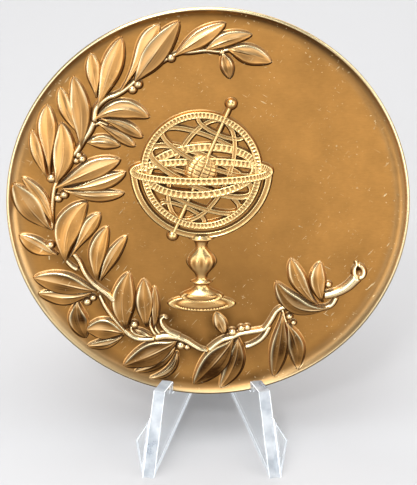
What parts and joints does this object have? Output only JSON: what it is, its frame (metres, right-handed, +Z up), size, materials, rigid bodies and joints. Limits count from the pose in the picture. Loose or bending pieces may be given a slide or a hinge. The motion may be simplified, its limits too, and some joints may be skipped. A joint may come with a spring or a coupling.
{
  "type": "commemorative medal on a clear easel",
  "caption": "Round bronze table medal with a laurel branch and an armillary sphere in low relief, leaning in a small clear easel.",
  "frame": {"origin": "under the middle of the object's box, at floor level", "axes": "+Z up, -Y to the front that the medal's face looks to, +X to the right as the face is read"},
  "size_m": [0.073, 0.0402, 0.0803],
  "materials": {
    "bronze": "satin brown-gold patina with worn bright edges",
    "clear_acrylic": "clear and polished, with lightly frosted front edges"
  },
  "bodies": {
    "root": {"medal": "bronze", "stand_wing_left": "clear_acrylic", "stand_wing_right": "clear_acrylic"}
  },
  "joints": []
}
